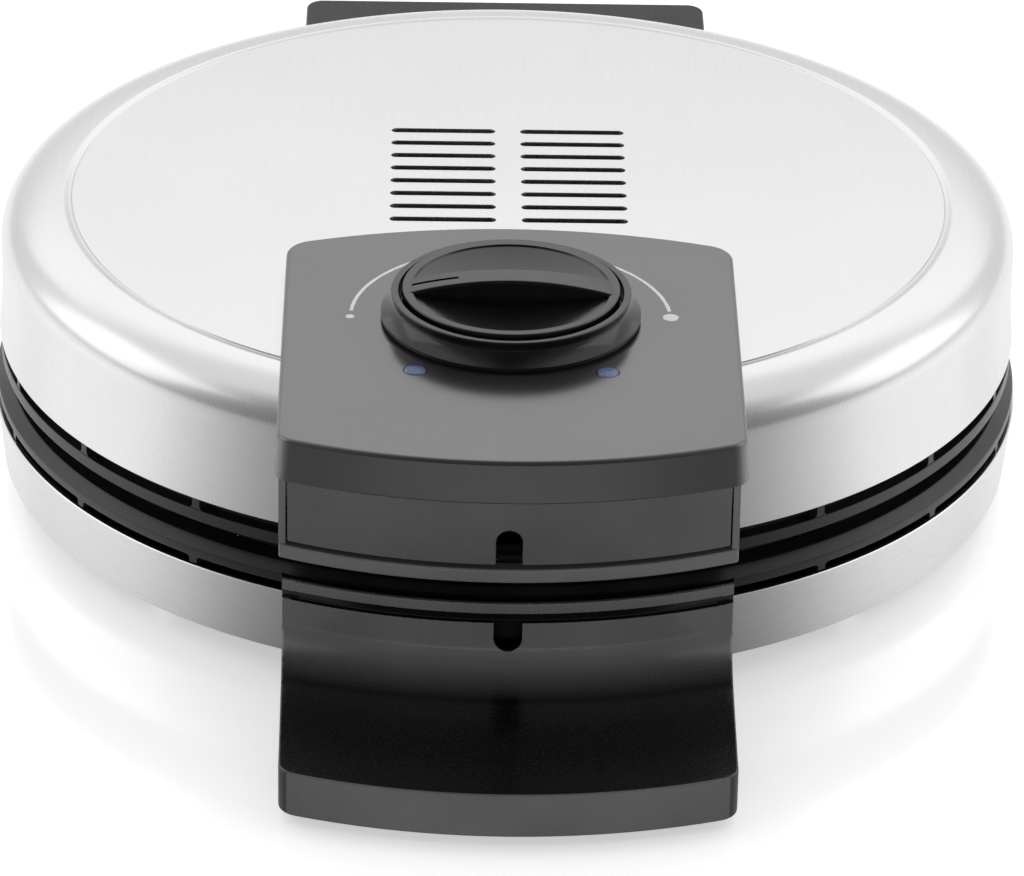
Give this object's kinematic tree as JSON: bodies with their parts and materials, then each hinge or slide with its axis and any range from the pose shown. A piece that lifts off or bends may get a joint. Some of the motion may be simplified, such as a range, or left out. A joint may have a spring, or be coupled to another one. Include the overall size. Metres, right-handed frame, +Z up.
{
  "type": "waffle maker",
  "caption": "Round countertop waffle maker: steel base and hinged lid with a grip panel, thermostat knob, front handle and coated plates with heart moulds.",
  "frame": {"origin": "middle of the footprint, on the surface that the four feet stand on", "axes": "+Z up, -Y towards the handle and the user, +X to the user's right"},
  "size_m": [0.2374, 0.3108, 0.0843],
  "materials": {
    "brushed_steel": "brushed",
    "plain_steel": "zinc plated",
    "bright_sheet": "bright sheet",
    "coated_plate": "non-stick coating",
    "satin_panel": "satin",
    "dark_plastic": "satin",
    "trim_plastic": "satin",
    "knob_plastic": "fine satin with glossy rings",
    "lens_clear": "glossy tinted",
    "rubber": "matte",
    "insulator": "matte",
    "heater_steel": "heat tinted",
    "wire_sleeve": "braided sleeve"
  },
  "bodies": {
    "base": {"base_shell": "brushed_steel", "base_trim_ring": "trim_plastic", "base_handle": "dark_plastic", "base_cover": "dark_plastic", "hinge_base": "dark_plastic", "foot_front_left": "rubber", "foot_front_right": "rubber", "foot_rear_left": "rubber", "foot_rear_right": "rubber", "cable_inlet": "rubber", "lower_plate": "coated_plate", "lower_heater": "heater_steel", "lower_reflector": "bright_sheet", "hinge_pin_left": "plain_steel", "hinge_pin_right": "plain_steel", "base_cover_screw_1": "plain_steel", "base_cover_screw_2": "plain_steel", "base_cover_screw_3": "plain_steel", "base_cover_screw_4": "plain_steel", "lower_plate_screw_1": "plain_steel", "lower_plate_screw_2": "plain_steel", "lower_plate_screw_3": "plain_steel", "base_housing_screw_1": "plain_steel", "base_housing_screw_2": "plain_steel", "base_housing_screw_3": "plain_steel", "base_housing_screw_4": "plain_steel", "terminal_block": "insulator", "base_wire_left": "wire_sleeve", "base_wire_right": "wire_sleeve"},
    "lid": {"lid_shell": "brushed_steel", "lid_trim_ring": "trim_plastic", "control_panel": "satin_panel", "front_wall": "dark_plastic", "handle_frame": "dark_plastic", "grip_cover": "dark_plastic", "hinge_lid": "dark_plastic", "upper_plate": "coated_plate", "upper_heater": "heater_steel", "upper_reflector": "bright_sheet", "upper_plate_screw_1": "plain_steel", "upper_plate_screw_2": "plain_steel", "upper_plate_screw_3": "plain_steel", "grip_screw_1": "plain_steel", "grip_screw_2": "plain_steel", "lid_housing_screw_1": "plain_steel", "lid_housing_screw_2": "plain_steel", "lid_housing_screw_3": "plain_steel", "lid_housing_screw_4": "plain_steel", "thermostat_body": "insulator", "safety_cutout": "insulator", "lamp_lens_left": "lens_clear", "lamp_lens_right": "lens_clear", "lamp_left": "insulator", "lamp_right": "insulator", "lid_supply_wire": "wire_sleeve", "lid_heater_wire": "wire_sleeve"},
    "knob": {"knob_skirt": "knob_plastic", "knob_cap": "knob_plastic", "thermostat_shaft": "plain_steel"}
  },
  "joints": [
    {"name": "lid_hinge", "type": "hinge", "parent": "base", "child": "lid", "pos_m": [0, 0.1479, 0.02985], "axis": [-1, 0, 0], "range_deg": [0, 95]},
    {"name": "knob_turn", "type": "hinge", "parent": "lid", "child": "knob", "pos_m": [0, -0.0525, 0.074], "axis": [0, 0, -1], "range_deg": [0, 180]}
  ]
}
